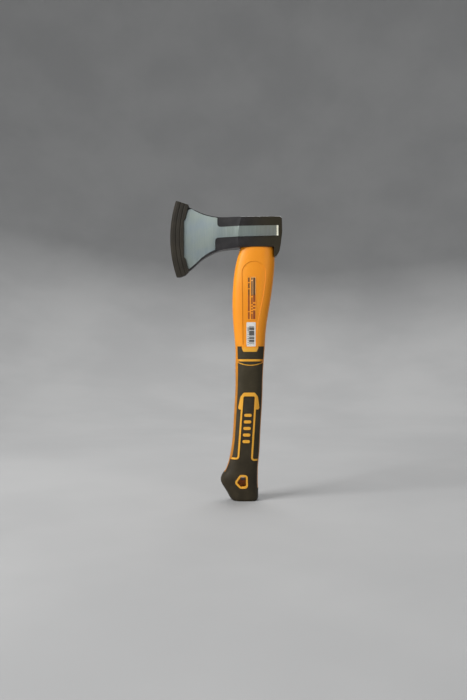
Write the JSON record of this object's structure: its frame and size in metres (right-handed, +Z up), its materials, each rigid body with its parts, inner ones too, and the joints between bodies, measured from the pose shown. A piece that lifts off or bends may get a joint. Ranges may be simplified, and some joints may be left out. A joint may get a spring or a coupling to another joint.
{
  "type": "felling axe",
  "caption": "Short felling axe: forged steel head, fibreglass handle in a moulded orange jacket with rubber grips, and a rubber guard that pulls off the edge.",
  "frame": {"origin": "centre of the flat butt face", "axes": "+Z up the handle from the butt to the head, -X towards the cutting edge, +X towards the poll, Y through the thickness with the labels on -Y"},
  "size_m": [0.1416, 0.0314, 0.3787],
  "materials": {
    "steel": "ground steel blade and rib; lower ground, edges and poll in black lacquer",
    "guard_rubber": "matt moulded rubber",
    "jacket": "satin moulded polypropylene",
    "fibreglass": "resin-bonded glass fibre, sawn end",
    "resin": "cast epoxy",
    "grip_rubber": "matt moulded thermoplastic rubber with a fine grain",
    "label_film": "printed film",
    "label_paper": "printed white film"
  },
  "bodies": {
    "axe": {"axe_head": "steel", "handle_jacket": "jacket", "fibreglass_core": "fibreglass", "eye_resin": "resin", "collar_front": "grip_rubber", "collar_back": "grip_rubber", "lens_front": "grip_rubber", "lens_back": "grip_rubber", "grip_front": "grip_rubber", "grip_back": "grip_rubber", "butt_boot": "grip_rubber", "info_label": "label_film", "barcode_label": "label_paper"},
    "guard": {"edge_guard": "guard_rubber"}
  },
  "joints": [
    {"name": "guard_pull", "type": "slide", "parent": "axe", "child": "guard", "axis": [-1, 0, 0], "range_m": [0, 0.045]}
  ]
}
